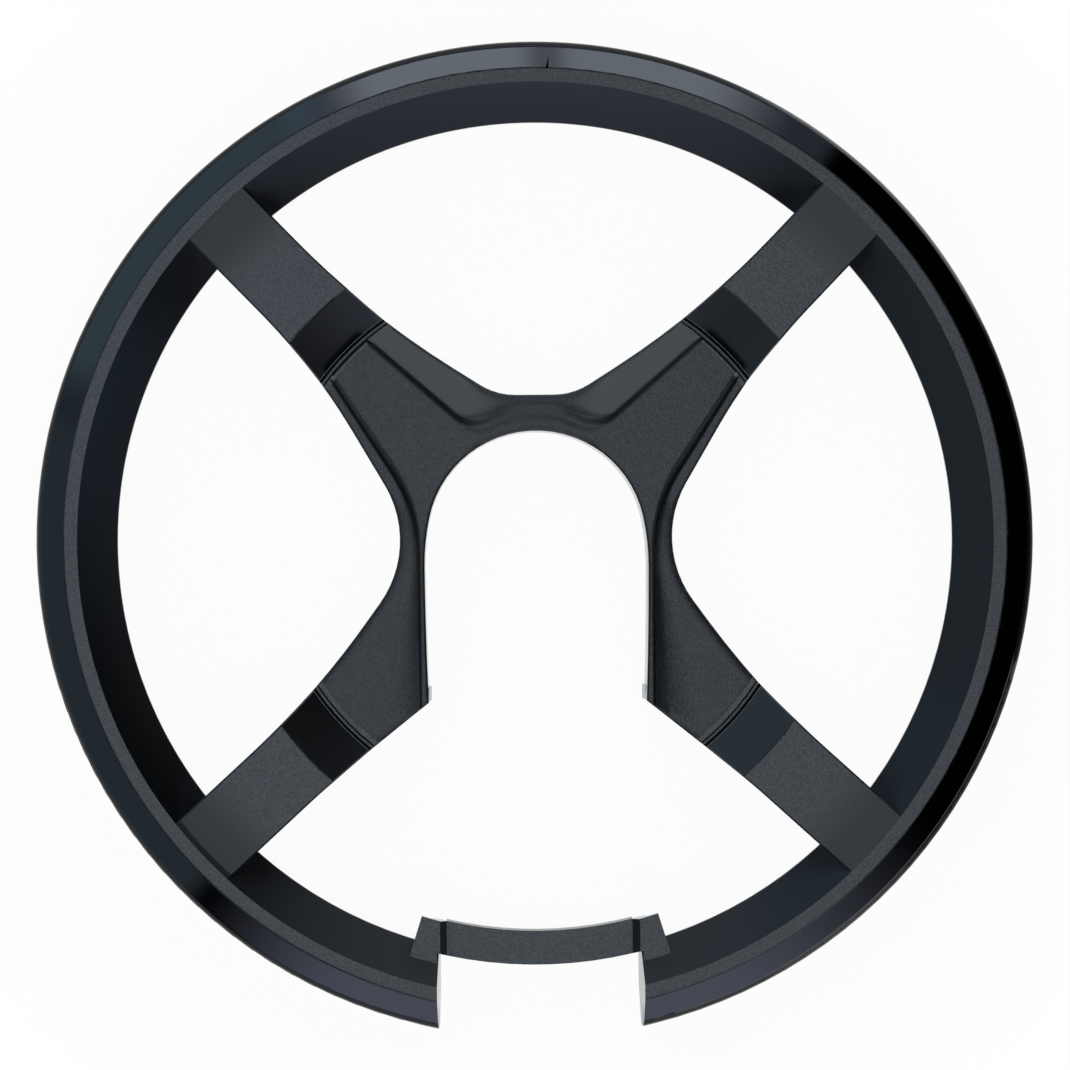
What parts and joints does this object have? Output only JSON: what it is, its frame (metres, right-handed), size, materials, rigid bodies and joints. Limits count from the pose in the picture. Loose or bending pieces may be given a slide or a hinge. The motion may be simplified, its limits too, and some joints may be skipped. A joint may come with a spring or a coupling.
{
  "type": "bicycle chain guard",
  "caption": "Round moulded bicycle chain guard: a hollow ring on radial spokes, with a recessed hub cut out for the crank and a notch in the ring for the crank arm.",
  "frame": {"origin": "on the crank axis, in the plane of the screw bosses' ends at the back", "axes": "+Z along the crank axis out of the front face, +Y away from the crank arm notch, +X to the right seen from the front"},
  "size_m": [0.1804, 0.1785, 0.013],
  "materials": {
    "guard_shell": "black moulded plastic, fine spark-eroded grain with a polished outer band"
  },
  "bodies": {
    "root": {"chain_guard": "guard_shell"}
  },
  "joints": []
}
